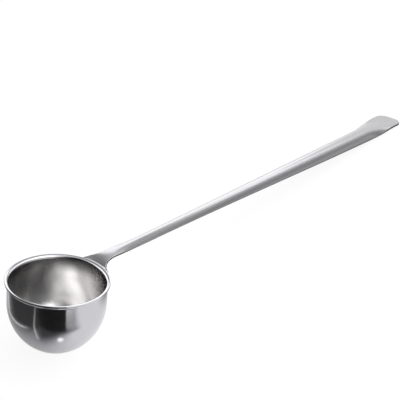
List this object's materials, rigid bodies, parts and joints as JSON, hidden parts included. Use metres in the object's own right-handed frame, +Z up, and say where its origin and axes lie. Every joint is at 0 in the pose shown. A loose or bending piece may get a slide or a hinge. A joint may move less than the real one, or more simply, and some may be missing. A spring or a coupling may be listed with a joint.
{
  "type": "coffee scoop",
  "caption": "Long-handled steel coffee scoop: deep round-bottomed bowl with a turned-out lip, and an arched sheet handle that fans out under the lip and ends in a flat pad.",
  "frame": {"origin": "middle of the bottom of the box around the scoop as it lies on a table, on its bowl and its handle's far end", "axes": "+X along the handle, from the bowl to its far end; +Z up from the table; +Y to the left seen from the bowl"},
  "size_m": [0.2822, 0.042, 0.0336],
  "materials": {
    "polished_steel": "stainless steel sheet, mirror polished outside and satin inside",
    "handle_steel": "stainless steel sheet, pressed and polished",
    "weld_steel": "dull spot of fused steel with an electrode mark"
  },
  "bodies": {
    "root": {"bowl": "polished_steel", "handle": "handle_steel", "spot_weld_left": "weld_steel", "spot_weld_centre": "weld_steel", "spot_weld_right": "weld_steel"}
  },
  "joints": []
}
